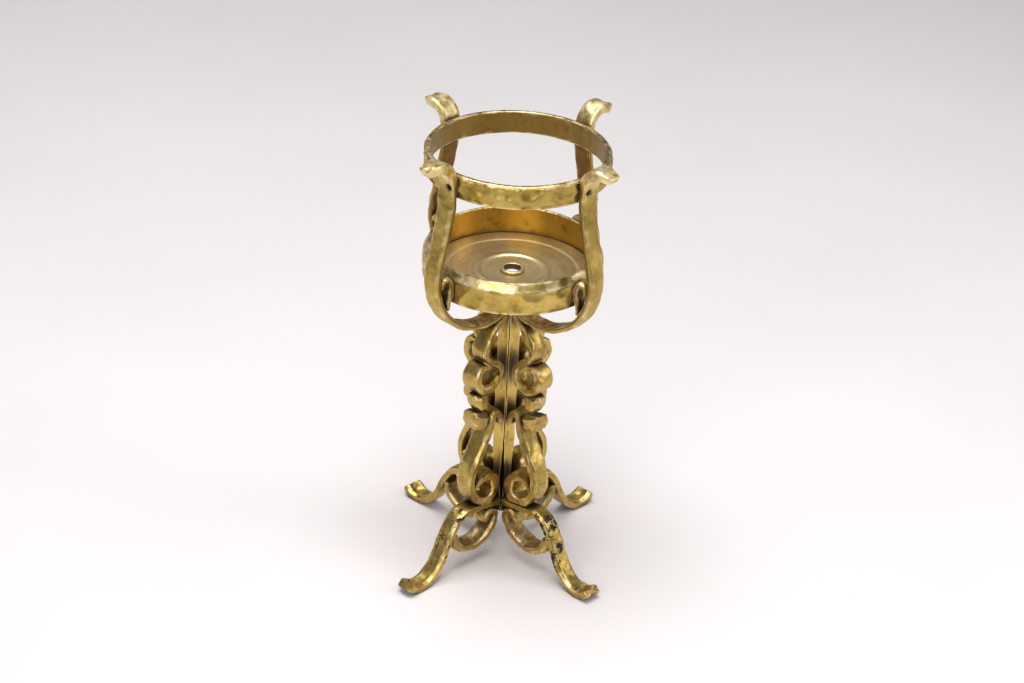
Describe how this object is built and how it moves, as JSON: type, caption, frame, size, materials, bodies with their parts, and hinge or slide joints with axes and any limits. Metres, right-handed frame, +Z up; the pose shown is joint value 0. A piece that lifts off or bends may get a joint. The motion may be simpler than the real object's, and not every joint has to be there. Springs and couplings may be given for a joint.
{
  "type": "scrollwork pedestal stand",
  "caption": "Gilt hammered-metal pedestal stand: scroll brackets round a square column, upturned feet, and arms that hold a hoop above a shallow cup with a lift-out pan.",
  "frame": {"origin": "on the column's axis at floor level, under the middle of the four feet", "axes": "+Z up along the column; the brackets stand at 45, 135, 225 and 315 degrees about Z, and -Y is the front"},
  "size_m": [0.1322, 0.1322, 0.307],
  "materials": {
    "column_gilt": "hammered gilt, bright yellow gold with dark seams",
    "leg_gilt": "hammered gilt, chipped to black on the knees and shins",
    "scroll_gilt": "hammered gilt with brown patina in the hollows",
    "arm_gilt": "hammered olive gold, satin",
    "hoop_gilt": "hammered outside, smooth inside, worn gold on the edges",
    "pan_brass": "spun, satin, with fine turning marks",
    "rivet_metal": "darkened"
  },
  "bodies": {
    "stand": {"front_left_spine": "column_gilt", "front_left_leg": "leg_gilt", "front_left_lower_loop": "scroll_gilt", "front_left_lower_volute": "scroll_gilt", "front_left_collar": "scroll_gilt", "front_left_bead": "scroll_gilt", "front_left_upper_scroll": "scroll_gilt", "front_left_arm": "arm_gilt", "front_left_arm_curl": "scroll_gilt", "front_right_spine": "column_gilt", "front_right_leg": "leg_gilt", "front_right_lower_loop": "scroll_gilt", "front_right_lower_volute": "scroll_gilt", "front_right_collar": "scroll_gilt", "front_right_bead": "scroll_gilt", "front_right_upper_scroll": "scroll_gilt", "front_right_arm": "arm_gilt", "front_right_arm_curl": "scroll_gilt", "back_right_spine": "column_gilt", "back_right_leg": "leg_gilt", "back_right_lower_loop": "scroll_gilt", "back_right_lower_volute": "scroll_gilt", "back_right_collar": "scroll_gilt", "back_right_bead": "scroll_gilt", "back_right_upper_scroll": "scroll_gilt", "back_right_arm": "arm_gilt", "back_right_arm_curl": "scroll_gilt", "back_left_spine": "column_gilt", "back_left_leg": "leg_gilt", "back_left_lower_loop": "scroll_gilt", "back_left_lower_volute": "scroll_gilt", "back_left_collar": "scroll_gilt", "back_left_bead": "scroll_gilt", "back_left_upper_scroll": "scroll_gilt", "back_left_arm": "arm_gilt", "back_left_arm_curl": "scroll_gilt", "upper_hoop": "hoop_gilt", "lower_hoop": "hoop_gilt", "upper_hoop_rivets": "rivet_metal"},
    "pan": {"pan": "pan_brass", "pan_eyelet": "pan_brass"}
  },
  "joints": [
    {"name": "pan_lift", "type": "slide", "parent": "stand", "child": "pan", "axis": [0, 0, 1], "range_m": [0, 0.12]}
  ]
}
